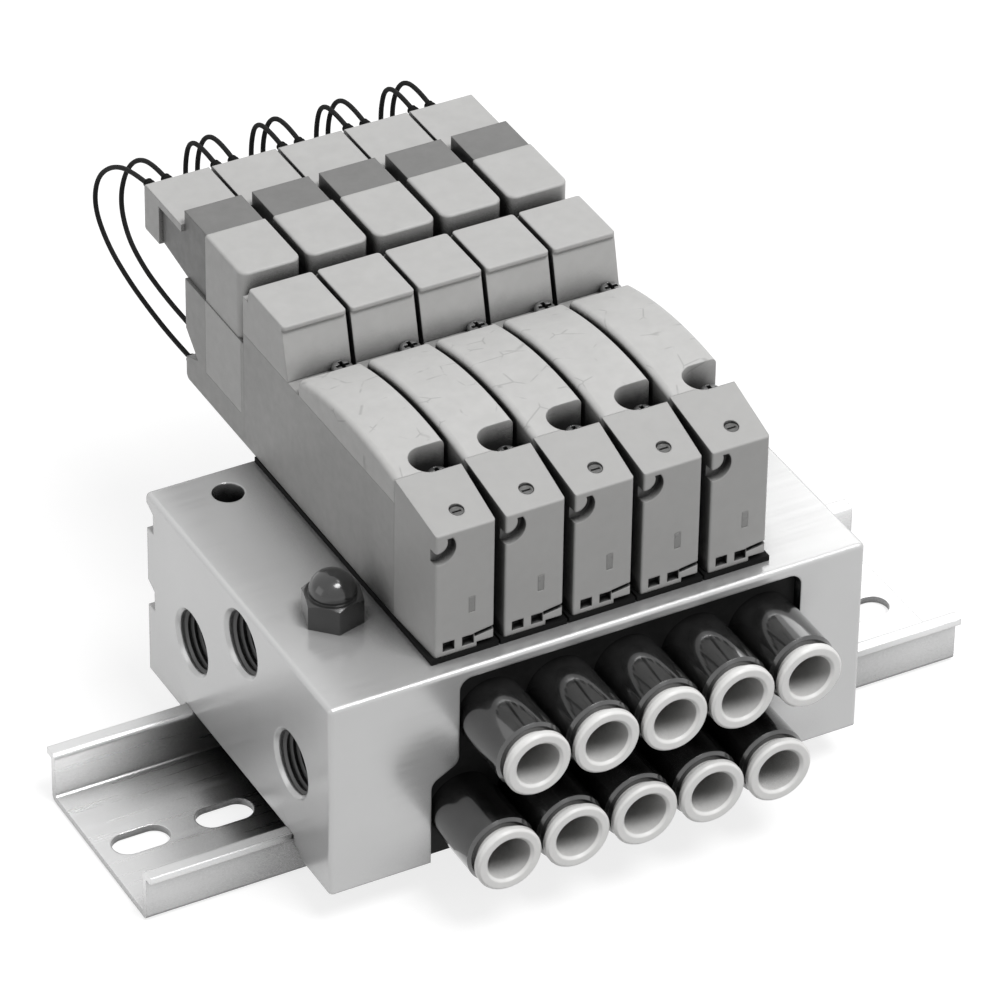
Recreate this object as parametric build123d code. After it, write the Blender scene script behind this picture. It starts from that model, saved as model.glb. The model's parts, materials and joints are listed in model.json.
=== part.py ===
from build123d import *

import os
from math import radians, tan

# Five-station solenoid valve island on a mounting rail, with push-in tube fittings.
# Frame: origin at the centre of the rail's underside, X along the rail, Y to the rear, Z up, millimetres.

# Rail
rail_length = 122.0
rail_width = 31.2
rail_channel_width = 28.6
rail_height = 7.8
rail_sheet = 1.0
rail_inner_radius = 0.3
rail_outer_radius = 0.8
rail_slot_count = 10
rail_slot_pitch = 12.2
rail_slot_length = 8.2
rail_slot_width = 4.5

# Stations
station_count = 5
station_pitch = 10.0
station_centre = 0.2
valve_width = 9.3

# Manifold base, an extruded bar
manifold_front_reach = 26.4
manifold_rear_reach = 26.8
manifold_rise = 27.3
manifold_edge_radius = 0.6
margin_left = 16.05
margin_right = 13.25
underside_recess = 1.6
rail_side_clearance = 0.3
skirt_drop = 0.9
skirt_depth = 8.8
groove_height = 4.1
groove_depth = 1.9
groove_slant = 0.9
upper_groove_drop = 1.5
groove_spacing = 12.6
hook_thickness = 1.8
hook_overlap = 1.0
hook_clearance = 0.2

# Galleries and end ports
gallery_diameter = 6.4
port_diameter = 8.8
port_depth = 6.2
port_chamfer = 0.5
supply_y = -1.0
supply_drop = 6.3
exhaust_rear_y = 13.7
exhaust_front_y = -15.3
exhaust_drop = 16.0
drilling_diameter = 2.2
passage_diameter = 2.8
outlet_front_y = -6.0
outlet_rear_y = 6.8
outlet_front_x = 1.5
exhaust_slot_depth = 1.5
exhaust_slot_end_y = -8.6
plug_socket_width = 5.0
plug_socket_depth = 3.0
plug_length = 5.6

# Mounting hole and rail clamp
mount_hole_diameter = 4.4
mount_hole_inset_x = 9.6
mount_hole_inset_y = 4.9
stud_diameter = 4.0
stud_clearance = 0.2
stud_inset_x = 9.5
stud_y = -8.6
stud_engagement = 5.2
stud_protrusion = 0.5
stud_chamfer = 0.5
nut_width_flats = 7.4
nut_hex_height = 3.9
nut_corner_slope = 1.7
nut_height = 6.9
nut_dome_diameter = 6.3
nut_dome_radius = 2.6
nut_turn = 15.0
clamp_length = 9.0
clamp_arm_thickness = 3.4
clamp_pocket_clearance = 0.6
clamp_heel_height = 0.4
clamp_heel_y = -4.2
clamp_leg_thickness = 2.0
clamp_lip_thickness = 1.6
clamp_lip_overlap = 1.0
clamp_end_y = -2.8

# Push-in fittings
fitting_diameter = 9.8
fitting_shift = 1.1
fitting_stagger = 2.0
upper_row_drop = 8.8
row_spacing = 14.0
fitting_reach = 11.9
shank_diameter = 8.0
shank_length = 6.0
shoulder_chamfer = 0.4
tube_diameter = 6.0
tube_clearance = 0.1
tube_stop_diameter = 3.2
tube_stop_length = 1.5
bore_depth = 11.6
seal_thickness = 1.2
collet_thickness = 0.8
collet_sheet = 0.27
collet_bore_diameter = 6.1
ring_diameter = 9.4
ring_flange = 1.0
ring_travel = 1.1
ring_gap_spare = 0.1
ring_sleeve_diameter = 7.6
ring_sleeve_length = 7.6
ring_running_clearance = 0.05
ring_mouth_flare = 0.35
ring_edge_chamfer = 0.3
recess_margin = 0.3
recess_depth = 2.4
recess_top_wall = 1.5
recess_corner_radius = 1.8
recess_step_drop = 2.2
plate_thickness = 1.0
plate_edge_clearance = 0.15
plate_hole_clearance = 0.1

# Valve outline
gasket_thickness = 0.8
gasket_overhang = 0.2
valve_setback = 2.8
cap_length = 10.6
body_length = 43.0
rear_base_length = 17.4
rear_base_height = 16.0
deck_height = 17.8
front_height = 19.1
cap_rear_height = 21.5
arch_height = 22.4
arch_peak_y = -1.0
cover_rear_height = 20.1
cover_length = 26.8
cover_wall = 1.0
cover_shoulder_radius = 0.8
cap_taper = 0.4
cap_edge_radius = 0.3
pocket_width = 4.8
pocket_offset = 0.9
pocket_y = -11.2
rear_screw_y = 15.5

# Front cap details
window_width = 1.7
window_height = 1.4
window_depth = 1.2
window_rise = 0.7
window_offsets = (-2.3, 0.5)
slot_height = 0.6
slot_length = 2.8
slot_rise = 1.6
slot_angle = 8.0
corner_cut_length = 2.5
corner_cut_height = 0.7
latch_outer_radius = 2.3
latch_inner_radius = 1.4
latch_drop = 2.2
latch_inner_shift = 0.6
latch_depth = 1.4
lens_width = 0.9
lens_height = 2.4
lens_depth = 0.8
lens_offset = 1.0
lens_drop = 11.0
button_diameter = 1.9
button_offset = 0.4
button_y = -20.3
button_clearance = 0.06
button_travel = 0.8
button_recess = 0.15
button_length = 2.6
button_flange_diameter = 2.9
button_flange_height = 0.5

# Spool and screws
spool_bore_diameter = 4.4
spool_offset = -1.2
spool_rise = 8.6
spool_bore_end_y = 24.0
spool_clearance = 0.03
spool_start_y = -8.5
spool_end_y = 21.0
spool_waist_diameter = 2.6
spool_land_length = 3.0
spool_travel = 2.0
screw_offset = 2.6
screw_diameter = 1.8
screw_hole_diameter = 2.0
screw_head_diameter = 2.9
screw_head_height = 1.5
screw_grip = 4.0
cross_width = 0.55
cross_length = 1.9
cross_depth = 0.8

# Pilot block, coil cover, connector
pilot_foot_gap = 3.2
pilot_lean = 1.7
pilot_height = 25.7
pilot_top_gap = 2.4
pilot_top_depth = 2.1
cushion_height = 0.7
cushion_overhang = 0.4
cushion_corner_radius = 0.5
cushion_edge_radius = 0.2
coil_gap = 0.8
coil_length = 10.6
coil_height = 26.4
coil_skirt_start = 4.4
coil_skirt_wall = 0.4
coil_side_inset = 0.15
coil_corner_radius = 1.4
coil_edge_radius = 0.4
housing_width = 8.4
housing_rise = 26.2
housing_neck_length = 6.8
housing_tail_length = 6.8
housing_tail_rise = 1.3
plug_tail_length = 4.4
plug_top_height = 24.1
plug_plate_thickness = 1.1
plug_width = 9.5
plug_height = 7.1
plug_edge_radius = 0.4
notch_height = 4.7
notch_depth = 3.6
notch_rise = 3.4
notch_apex_share = 0.3
base_corner_radius = 0.8

# Lead wires
wire_diameter = 0.7
wire_bend_share = 0.45
wire_a_route = (
    (-3.4, 59.5, 58.8), (-3.5, 65.9, 58.0), (-3.6, 72.0, 55.3), (-3.7, 76.8, 50.7), (-3.7, 78.0, 45.2),
    (-3.6, 74.2, 41.2), (-3.5, 67.9, 39.0), (-3.4, 60.6, 37.9), (-3.3, 53.6, 37.4), (-3.2, 47.5, 37.5),
)
wire_b_route = (
    (-0.8, 59.5, 58.8), (-0.9, 64.4, 59.1), (-1.1, 69.3, 57.3), (-1.3, 72.8, 53.2), (-1.5, 74.3, 47.6),
    (-1.7, 71.7, 43.4), (-1.9, 66.3, 41.6), (-2.1, 60.2, 41.2), (-2.3, 54.2, 41.3), (-2.4, 47.6, 41.6),
)
tight_a_route = (
    (-3.4, 59.5, 58.8), (-3.5, 64.4, 59.5), (-3.5, 68.7, 58.3), (-3.6, 70.0, 53.8), (-3.6, 69.6, 48.6),
    (-3.5, 66.8, 44.3), (-3.4, 62.2, 41.0), (-3.3, 55.2, 38.6), (-3.2, 47.5, 37.5),
)
tight_b_route = (
    (-0.8, 59.5, 58.8), (-0.9, 64.2, 59.8), (-1.2, 68.4, 58.8), (-1.6, 70.3, 54.4), (-1.7, 70.0, 49.2),
    (-1.8, 67.0, 45.2), (-2.0, 61.6, 42.6), (-2.2, 54.6, 41.6), (-2.4, 47.6, 41.6),
)

# Distance a cutting shape runs past the face it cuts
overrun = 1.0

# Levels and faces worked out from the sizes above
rail_top = rail_height
manifold_front = -manifold_front_reach
manifold_rear = manifold_rear_reach
manifold_top = rail_top + manifold_rise
underside = rail_top - underside_recess
skirt_bottom = underside - skirt_drop
station_xs = [station_centre + (i - (station_count - 1) / 2) * station_pitch for i in range(station_count)]
manifold_left = station_xs[0] - valve_width / 2 - margin_left
manifold_right = station_xs[-1] + valve_width / 2 + margin_right
supply_z = manifold_top - supply_drop
exhaust_z = manifold_top - exhaust_drop
upper_z = manifold_top - upper_row_drop
lower_z = upper_z - row_spacing
upper_xs = [x + fitting_shift + fitting_stagger for x in station_xs]
lower_xs = [x + fitting_shift - fitting_stagger for x in station_xs]
recess_floor = manifold_front + recess_depth
ring_face = manifold_front - fitting_reach
body_face = ring_face + ring_flange + ring_travel + ring_gap_spare
fitting_shoulder = recess_floor - plate_thickness
shank_end = recess_floor + shank_length
bore_end = body_face + bore_depth
stud_x = manifold_left + stud_inset_x
valve_floor = manifold_top + gasket_thickness
valve_front = manifold_front + valve_setback
cap_rear = valve_front + cap_length
body_rear = cap_rear + body_length
base_rear = body_rear + rear_base_length
deck = valve_floor + deck_height
base_top = valve_floor + rear_base_height
cover_rear = cap_rear + cover_length
pilot_top = valve_floor + pilot_height
coil_front = body_rear + coil_gap
coil_rear = coil_front + coil_length
coil_top = valve_floor + coil_height
housing_top = valve_floor + housing_rise
plate_front = coil_rear + housing_neck_length
tail_rear = plate_front + housing_tail_length
plug_rear = tail_rear + plug_tail_length
plug_top = valve_floor + plug_top_height
spool_z = valve_floor + spool_rise
clamp_roof = rail_top + clamp_pocket_clearance + clamp_arm_thickness + clamp_heel_height
stud_bottom = rail_top + clamp_pocket_clearance - stud_protrusion


def rod_x(diameter, start, end, y, z):
    """Cylinder along X."""
    return Pos((start + end) / 2, y, z) * Rot(0, 90, 0) * Cylinder(diameter / 2, end - start)


def rod_y(diameter, start, end, x, z):
    """Cylinder along Y."""
    return Pos(x, (start + end) / 2, z) * Rot(90, 0, 0) * Cylinder(diameter / 2, end - start)


def rod_z(diameter, start, end, x, y):
    """Cylinder along Z."""
    return Pos(x, y, (start + end) / 2) * Cylinder(diameter / 2, end - start)


def block(x_range, y_range, z_range):
    """Box between two corners."""
    size = [high - low for low, high in (x_range, y_range, z_range)]
    middle = [(low + high) / 2 for low, high in (x_range, y_range, z_range)]
    return Pos(*middle) * Box(*size)


def side_profile(points, width, x=0.0):
    """Outline of (Y, Z) points, extruded to a width along X about x."""
    face = Plane.YZ * make_face(Polyline(*points, close=True))
    return Pos(x, 0, 0) * extrude(face, width / 2, both=True)


def turned_y(points, x, z):
    """Solid of revolution about the line along Y through (x, z), from (radius, Y) points."""
    face = make_face(Polyline(*points, close=True))
    return Pos(x, 0, z) * revolve(face, Axis.Y)


def edges_along(solid, axis, low, high, by):
    """Edges parallel to an axis whose middle lies between two values of another axis."""
    return solid.edges().filter_by(axis).filter_by_position(by, low, high)


def make_rail():
    """Top-hat rail, open side up, with rolled bends and a row of slots."""
    half = rail_channel_width / 2
    inner = half - rail_sheet
    reach = rail_width / 2
    under = rail_height - rail_sheet
    outline = make_face(Polyline(
        (-reach, under), (-half, under), (-half, 0), (half, 0), (half, under), (reach, under),
        (reach, rail_height), (inner, rail_height), (inner, rail_sheet),
        (-inner, rail_sheet), (-inner, rail_height), (-reach, rail_height), close=True))
    for corners, radius in ((((half, under), (inner, rail_sheet)), rail_inner_radius),
                            (((half, 0), (inner, rail_height)), rail_outer_radius)):
        bends = [v for v in outline.vertices()
                 if any(abs(abs(v.X) - x) < 0.01 and abs(v.Y - z) < 0.01 for x, z in corners)]
        outline = fillet(bends, radius)
    rail = extrude(Plane.YZ * outline, rail_length / 2, both=True)
    slot = extrude(SlotOverall(rail_slot_length, rail_slot_width), rail_sheet + overrun, both=True)
    for i in range(rail_slot_count):
        rail -= Pos((i - (rail_slot_count - 1) / 2) * rail_slot_pitch, 0, 0) * slot
    return rail


def recess_outline(inset):
    """Stepped outline of the fitting recess on the front face, in (X, Z)."""
    margin = fitting_diameter / 2 + recess_margin - inset
    middle = (upper_z + lower_z) / 2
    top = manifold_top - recess_top_wall - inset
    bottom = skirt_bottom + inset
    points = (
        (lower_xs[0] - margin, bottom), (lower_xs[-1] + margin, bottom),
        (lower_xs[-1] + margin, middle - recess_step_drop / 2),
        (upper_xs[-1] + margin, middle + recess_step_drop / 2),
        (upper_xs[-1] + margin, top), (upper_xs[0] - margin, top),
        (upper_xs[0] - margin, middle + recess_step_drop / 2),
        (lower_xs[0] - margin, middle - recess_step_drop / 2))
    face = make_face(Polyline(*points, close=True))
    return fillet([v for v in face.vertices() if v.Y > bottom + 0.01], recess_corner_radius)


def front_plate(inset, front, rear):
    """The recess outline as a plate between two Y faces."""
    face = Plane.XZ * recess_outline(inset)
    return Pos(0, rear, 0) * extrude(face, rear - front)


def make_manifold():
    """Extruded manifold bar with rear grooves, rail hook, galleries, ports and fitting recess."""
    reach = rail_width / 2 + rail_side_clearance
    hook_top = rail_height - rail_sheet - hook_clearance
    hook_in = rail_width / 2 - hook_overlap
    upper = manifold_top - upper_groove_drop
    lower = upper - groove_spacing
    floor = manifold_rear - groove_depth
    bar = side_profile((
        (manifold_front, manifold_top), (manifold_rear, manifold_top),
        (manifold_rear, upper), (floor, upper - groove_slant),
        (floor, upper - groove_height), (manifold_rear, upper - groove_height),
        (manifold_rear, lower), (floor, lower - groove_slant),
        (floor, lower - groove_height), (manifold_rear, lower - groove_height),
        (manifold_rear, underside), (reach + hook_thickness, underside),
        (reach + hook_thickness, hook_top - hook_thickness), (hook_in, hook_top - hook_thickness),
        (hook_in, hook_top), (reach, hook_top), (reach, rail_top), (-reach, rail_top),
        (-reach, underside), (manifold_front + skirt_depth, underside),
        (manifold_front + skirt_depth, skirt_bottom), (manifold_front, skirt_bottom),
    ), manifold_right - manifold_left, (manifold_left + manifold_right) / 2)
    soft = edges_along(bar, Axis.Z, manifold_front - 0.01, manifold_front + 0.01, Axis.Y)
    soft += edges_along(bar, Axis.X, manifold_front - 0.01, manifold_front + 0.01, Axis.Y).sort_by(Axis.Z)[-1:]
    soft += edges_along(bar, Axis.Y, manifold_top - 0.01, manifold_top + 0.01, Axis.Z)
    bar = fillet(soft, manifold_edge_radius)

    bar -= front_plate(0.0, manifold_front, recess_floor)
    bar -= block((lower_xs[0] - fitting_diameter / 2 - recess_margin, lower_xs[-1] + fitting_diameter / 2
                  + recess_margin), (manifold_front - overrun, recess_floor), (skirt_bottom - overrun, skirt_bottom))

    for y, z in ((supply_y, supply_z), (exhaust_rear_y, exhaust_z), (exhaust_front_y, exhaust_z)):
        bar -= rod_x(gallery_diameter, manifold_left, manifold_right, y, z)
        for end, step in ((manifold_left, 1), (manifold_right, -1)):
            inner = end + step * port_depth
            bar -= rod_x(port_diameter, min(end, inner), max(end, inner), y, z)
            cone = Cone(port_diameter / 2, port_diameter / 2 + port_chamfer, port_chamfer)
            turn = -90 if step > 0 else 90
            bar -= Pos(end + step * port_chamfer / 2, y, z) * Rot(0, turn, 0) * cone

    slot_start = exhaust_front_y - drilling_diameter / 2
    for x in station_xs:
        spool_x = x + spool_offset
        bar -= rod_z(drilling_diameter, supply_z, manifold_top, spool_x, supply_y)
        bar -= rod_z(drilling_diameter, exhaust_z, manifold_top, spool_x, exhaust_rear_y)
        bar -= rod_z(drilling_diameter, exhaust_z, manifold_top, spool_x, exhaust_front_y)
        bar -= block((spool_x - drilling_diameter / 2, spool_x + drilling_diameter / 2),
                     (slot_start, exhaust_slot_end_y), (manifold_top - exhaust_slot_depth, manifold_top))
        bar -= rod_z(drilling_diameter, upper_z, manifold_top, x + outlet_front_x, outlet_front_y)
        bar -= rod_z(drilling_diameter, lower_z, manifold_top, x + fitting_shift - fitting_stagger, outlet_rear_y)
        for y in (pocket_y, rear_screw_y):
            bar -= rod_z(screw_diameter, manifold_top - screw_grip - overrun, manifold_top, x + screw_offset, y)
    for xs, z, end_y in ((upper_xs, upper_z, outlet_front_y), (lower_xs, lower_z, outlet_rear_y)):
        for x in xs:
            bar -= rod_y(shank_diameter, recess_floor - overrun, shank_end, x, z)
            bar -= rod_y(passage_diameter, shank_end - overrun, end_y, x, z)

    bar -= rod_z(mount_hole_diameter, skirt_bottom - overrun, manifold_top, manifold_left + mount_hole_inset_x,
                 manifold_rear - mount_hole_inset_y)
    bar -= rod_z(stud_diameter + 2 * stud_clearance, rail_top, manifold_top, stud_x, stud_y)
    bar -= clamp_pocket()
    return bar


def clamp_pocket():
    """Room under the manifold for the rail clamp."""
    half = clamp_length / 2 + clamp_pocket_clearance
    leg = rail_width / 2 + rail_side_clearance + clamp_leg_thickness + clamp_pocket_clearance
    return block((stud_x - half, stud_x + half), (-leg, clamp_end_y + clamp_pocket_clearance),
                 (skirt_bottom - overrun, clamp_roof))


def make_clamp():
    """Clamp that reaches round the front flange of the rail and is pulled up by the stud."""
    leg_in = rail_width / 2 + rail_side_clearance
    lip_in = rail_width / 2 - clamp_lip_overlap
    arm_low = rail_top + clamp_pocket_clearance
    arm_high = arm_low + clamp_arm_thickness
    lip_high = rail_height - rail_sheet - hook_clearance
    clamp = side_profile((
        (-leg_in - clamp_leg_thickness, arm_high), (-leg_in - clamp_leg_thickness, lip_high - clamp_lip_thickness),
        (-lip_in, lip_high - clamp_lip_thickness), (-lip_in, lip_high), (-leg_in, lip_high),
        (-leg_in, arm_low), (clamp_end_y, arm_low), (clamp_end_y, arm_high),
        (clamp_heel_y + clamp_heel_height, arm_high), (clamp_heel_y, clamp_roof),
        (clamp_heel_y - clamp_heel_height, arm_high),
    ), clamp_length, stud_x)
    return clamp - rod_z(stud_diameter, arm_low - overrun, clamp_roof + overrun, stud_x, stud_y)


def make_stud():
    """Threaded stud from the clamp up into the cap nut."""
    top = manifold_top + stud_engagement
    stud = rod_z(stud_diameter, stud_bottom, top, stud_x, stud_y)
    return chamfer(stud.edges().filter_by(GeomType.CIRCLE), stud_chamfer)


def make_nut():
    """Cap nut: hexagon with sloped corners under a domed cap, bored for the stud."""
    flat = nut_width_flats / 2
    body = extrude(RegularPolygon(flat, 6, major_radius=False), nut_hex_height)
    body &= Pos(0, 0, nut_hex_height / 2) * Cone(flat + nut_corner_slope * nut_hex_height, flat, nut_hex_height)
    dome = rod_z(nut_dome_diameter, 0, nut_height, 0, 0)
    dome = fillet(dome.edges().filter_by(GeomType.CIRCLE).sort_by(Axis.Z)[-1], nut_dome_radius)
    nut = Pos(stud_x, stud_y, manifold_top) * Rot(0, 0, nut_turn) * (body + dome)
    return nut - rod_z(stud_diameter, manifold_top - overrun, manifold_top + stud_engagement, stud_x, stud_y)


def make_end_plugs():
    """Threaded plugs with hexagon sockets in the right-hand end ports."""
    plugs = []
    for y, z in ((supply_y, supply_z), (exhaust_rear_y, exhaust_z), (exhaust_front_y, exhaust_z)):
        inner = manifold_right - port_depth
        plug = rod_x(port_diameter, inner, inner + plug_length, y, z)
        plug = chamfer(plug.edges().filter_by(GeomType.CIRCLE).sort_by(Axis.X)[-1], port_chamfer)
        socket = extrude(Plane.YZ * RegularPolygon(plug_socket_width / 2, 6, major_radius=False), plug_socket_depth)
        plugs.append(plug - Pos(inner + plug_length - plug_socket_depth, y, z) * socket)
    return plugs


def make_seal_plate():
    """Plate on the recess floor, under the shoulders of the fittings."""
    plate = front_plate(plate_edge_clearance, fitting_shoulder, recess_floor)
    for xs, z in ((upper_xs, upper_z), (lower_xs, lower_z)):
        for x in xs:
            plate -= rod_y(shank_diameter + 2 * plate_hole_clearance, fitting_shoulder - overrun,
                           recess_floor + overrun, x, z)
    return plate


def make_fitting(x, z):
    """Push-in fitting body: barrel, shoulder and pressed shank, with a stepped bore."""
    outer = fitting_diameter / 2
    shank = shank_diameter / 2
    guide = ring_sleeve_diameter / 2 + ring_running_clearance
    stop = tube_diameter / 2 + tube_clearance
    port = tube_stop_diameter / 2
    return turned_y((
        (guide, body_face), (outer - shoulder_chamfer, body_face), (outer, body_face + shoulder_chamfer),
        (outer, fitting_shoulder), (shank, fitting_shoulder), (shank, shank_end), (port, shank_end),
        (port, shank_end - tube_stop_length), (stop, shank_end - tube_stop_length), (stop, bore_end), (guide, bore_end),
    ), x, z)


def make_seal(x, z):
    """Seal ring at the bottom of the guide bore."""
    outer = ring_sleeve_diameter / 2 + ring_running_clearance
    inner = tube_diameter / 2 + tube_clearance / 2
    return turned_y(((inner, bore_end), (outer, bore_end), (outer, bore_end - seal_thickness),
                     (inner, bore_end - seal_thickness)), x, z)


def make_collet(x, z):
    """Spring-steel grip ring in front of the seal, dished toward the tube stop."""
    rear = bore_end - seal_thickness
    outer = ring_sleeve_diameter / 2 + ring_running_clearance
    inner = collet_bore_diameter / 2
    return turned_y(((outer, rear - collet_thickness), (outer, rear - collet_thickness + collet_sheet),
                     (inner, rear), (inner, rear - collet_sheet)), x, z)


def make_release_ring(x, z):
    """Release ring: flange in front of the fitting and a sleeve that slides in its bore."""
    outer = ring_diameter / 2
    sleeve = ring_sleeve_diameter / 2
    bore = tube_diameter / 2 + tube_clearance
    flange_rear = ring_face + ring_flange
    return turned_y((
        (bore + ring_mouth_flare, ring_face), (outer - ring_edge_chamfer, ring_face),
        (outer, ring_face + ring_edge_chamfer), (outer, flange_rear), (sleeve, flange_rear),
        (sleeve, flange_rear + ring_sleeve_length), (bore, flange_rear + ring_sleeve_length),
        (bore, ring_face + ring_mouth_flare),
    ), x, z)


def make_gasket(x):
    """Valve gasket with the port openings and screw holes."""
    half = valve_width / 2 + gasket_overhang
    gasket = block((x - half, x + half), (valve_front - gasket_overhang, manifold_rear - gasket_overhang),
                   (manifold_top, valve_floor))
    gasket -= valve_ports(x, manifold_top - overrun, valve_floor + overrun)
    return gasket - screw_holes(x, manifold_top - overrun, valve_floor + overrun)


def valve_ports(x, low, high):
    """The five vertical ports under a valve."""
    spool_x = x + spool_offset
    lower_x = x + fitting_shift - fitting_stagger
    ports = rod_z(drilling_diameter, low, high, spool_x, supply_y)
    ports += rod_z(drilling_diameter, low, high, spool_x, exhaust_rear_y)
    ports += rod_z(drilling_diameter, low, high, spool_x, exhaust_slot_end_y - drilling_diameter / 2)
    ports += rod_z(drilling_diameter, low, high, x + outlet_front_x, outlet_front_y)
    return ports + rod_z(drilling_diameter, low, high, lower_x, outlet_rear_y)


def screw_holes(x, low, high):
    """Clearance holes for the two mounting screws of a valve."""
    front = rod_z(screw_hole_diameter, low, high, x + screw_offset, pocket_y)
    return front + rod_z(screw_hole_diameter, low, high, x + screw_offset, rear_screw_y)


def screw_pocket(x, low):
    """Pocket over the front mounting screw: round at its left end and open to the right side."""
    start = x + pocket_offset
    high = low + arch_height
    pocket = rod_z(pocket_width, low, high, start, pocket_y)
    return pocket + block((start, x + valve_width / 2 + overrun),
                          (pocket_y - pocket_width / 2, pocket_y + pocket_width / 2), (low, high))


def make_valve_body(x):
    """Main valve body with the spool bore, the ports and the screw holes."""
    body = block((x - valve_width / 2, x + valve_width / 2), (cap_rear, body_rear), (valve_floor, deck))
    body -= rod_y(spool_bore_diameter, cap_rear - overrun, spool_bore_end_y, x + spool_offset, spool_z)
    body -= valve_ports(x, valve_floor - overrun, spool_z)
    return body - screw_holes(x, valve_floor - overrun, deck + overrun)


def cap_outline():
    """Side outline of the front cap, in (Y, Z)."""
    return ((valve_front, valve_floor), (valve_front, valve_floor + front_height),
            (cap_rear, valve_floor + cap_rear_height), (cap_rear, valve_floor))


def button_top():
    """Height of the cap's sloping top over the override button."""
    share = (button_y - valve_front) / cap_length
    return valve_floor + front_height + share * (cap_rear_height - front_height)


def make_front_cap(x):
    """Tapered front cap with screw pocket, latch crescent, windows, lens seat and button bore."""
    half = valve_width / 2
    nose = half - cap_taper
    plan = extrude(make_face(Polyline((-half, cap_rear), (half, cap_rear), (nose, valve_front),
                                      (-nose, valve_front), close=True)), manifold_top + 4 * arch_height)
    cap = side_profile(cap_outline(), 2 * valve_width) & plan
    top_edge = edges_along(cap, Axis.X, valve_front - 0.01, valve_front + 0.01, Axis.Y).sort_by(Axis.Z)[-1]
    sides = [e for e in cap.edges().filter_by(Axis.Z) if e.center().Y < valve_front + 0.01]
    cap = fillet([top_edge] + sides, cap_edge_radius)

    front = valve_front - overrun
    floor = valve_floor
    for offset in window_offsets:
        cap -= block((offset - window_width / 2, offset + window_width / 2), (front, valve_front + window_depth),
                     (floor + window_rise, floor + window_rise + window_height))
    slot = block((nose - slot_length, half + overrun), (front, valve_front + window_depth),
                 (floor + slot_rise, floor + slot_rise + slot_height))
    pivot = Pos(nose - slot_length, 0, floor + slot_rise)
    cap -= pivot * Rot(0, -slot_angle, 0) * pivot.inverse() * slot
    cap -= block((nose - corner_cut_length, half + overrun), (front, valve_front + window_depth),
                 (floor - overrun, floor + corner_cut_height))
    latch_z = floor + front_height - latch_drop
    crescent = rod_y(2 * latch_outer_radius, front, valve_front + latch_depth, latch_inner_shift - nose, latch_z)
    crescent -= rod_y(2 * latch_inner_radius, front, valve_front + latch_depth, latch_inner_shift / 2 - nose,
                      latch_z + latch_outer_radius - latch_inner_radius)
    crescent -= block((-valve_width, valve_width), (front, valve_front + latch_depth),
                      (latch_z + latch_inner_radius, latch_z + 2 * latch_outer_radius))
    cap -= crescent
    cap -= lens_box(lens_depth)
    cap -= rod_z(button_diameter + 2 * button_clearance, button_top() - button_length, deck + arch_height,
                 button_offset, button_y)
    seat_height = button_flange_height + button_travel + button_clearance
    cap -= rod_z(button_flange_diameter + 4 * button_clearance, button_top() - button_length - seat_height
                 + button_flange_height + button_clearance, button_top() - button_length + button_flange_height
                 + button_clearance, button_offset, button_y)
    cap -= Pos(-x, 0, 0) * screw_pocket(x, deck)
    return Pos(x, 0, 0) * cap


def lens_box(depth):
    """The indicator lens, about x = 0."""
    top = valve_floor + front_height - lens_drop
    return block((lens_offset - lens_width / 2, lens_offset + lens_width / 2), (valve_front, valve_front + depth),
                 (top - lens_height, top))


def make_button(x):
    """Manual override button with a retaining flange inside the cap."""
    top = button_top() - button_recess
    bottom = button_top() - button_length
    button = rod_z(button_diameter, bottom, top, x + button_offset, button_y)
    return button + rod_z(button_flange_diameter, bottom, bottom + button_flange_height, x + button_offset, button_y)


def arch_face(rise, start, end, floor):
    """Arched side outline between two Y faces, a distance under the outer arch."""
    left = (start, valve_floor + cap_rear_height - rise)
    peak = (arch_peak_y, valve_floor + arch_height - rise)
    right = (end, valve_floor + cover_rear_height - rise)
    return make_face(ThreePointArc(left, peak, right) + Line(right, (end, floor)) + Line((end, floor),
                     (start, floor)) + Line((start, floor), left))


def make_top_cover(x):
    """Arched top cover, a shell with rounded shoulders, cut away at the screw pocket."""
    outer = extrude(Plane.YZ * arch_face(0, cap_rear, cover_rear, deck), valve_width / 2, both=True)
    shoulders = [e for e in outer.edges() if abs(abs(e.center().X) - valve_width / 2) < 0.01
                 and e.geom_type == GeomType.CIRCLE]
    outer = fillet(shoulders, cover_shoulder_radius)
    start = pocket_y + pocket_width / 2 + cover_wall
    inner = extrude(Plane.YZ * arch_face(cover_wall, start, cover_rear - cover_wall, deck - overrun),
                    valve_width / 2 - cover_wall, both=True)
    return Pos(x, 0, 0) * (outer - inner) - screw_pocket(x, deck - overrun)


def make_pilot_block(x):
    """Pilot block with a leaning front and a cushioned top plate."""
    foot = cover_rear + pilot_foot_gap
    rear = coil_front - pilot_top_gap
    under = pilot_top - cushion_height
    block_part = side_profile(((foot, deck), (foot + pilot_lean, under), (rear, under),
                               (rear, pilot_top - pilot_top_depth), (body_rear, pilot_top - pilot_top_depth),
                               (body_rear, deck)), valve_width, x)
    half = valve_width / 2
    front = foot + pilot_lean - cushion_overhang
    top = block((x - half, x + half), (front, rear), (under, pilot_top))
    top = fillet(top.edges().filter_by(Axis.Z), cushion_corner_radius)
    top = fillet(top.faces().sort_by(Axis.Z)[-1].edges(), cushion_edge_radius)
    return block_part + top


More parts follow.
